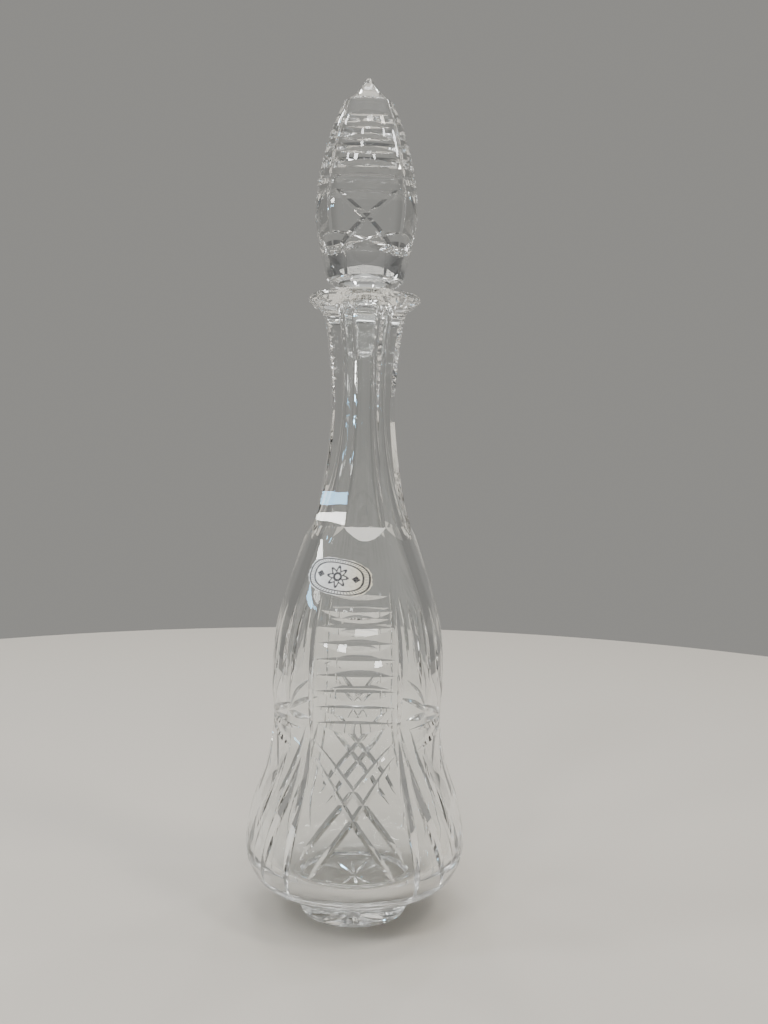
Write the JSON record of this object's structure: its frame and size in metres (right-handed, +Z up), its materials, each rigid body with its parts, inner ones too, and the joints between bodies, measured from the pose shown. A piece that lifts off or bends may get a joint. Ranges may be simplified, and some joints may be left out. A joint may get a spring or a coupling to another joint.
{
  "type": "cut crystal decanter",
  "caption": "Tall waisted cut crystal decanter with a fluted neck, a flared lip, ladder and cross cutting, and a long pointed stopper that lifts out.",
  "frame": {"origin": "centre of the foot's underside, on the surface that the decanter stands on", "axes": "+Z up along the axis of the neck; -Y towards the front ladder panel, which the label is beside; +X to the right seen from the front"},
  "size_m": [0.1014, 0.1014, 0.38],
  "materials": {
    "crystal_body": "clear polished lead crystal with wheel-cut mitres",
    "crystal_stopper": "clear polished solid lead crystal with wheel-cut mitres",
    "foil_label": "worn silver foil with dark printed border lines"
  },
  "bodies": {
    "decanter": {"decanter_body": "crystal_body", "label": "foil_label"},
    "stopper": {"stopper": "crystal_stopper"}
  },
  "joints": [
    {"name": "stopper_lift", "type": "slide", "parent": "decanter", "child": "stopper", "axis": [0, 0, 1], "range_m": [0, 0.05]}
  ]
}
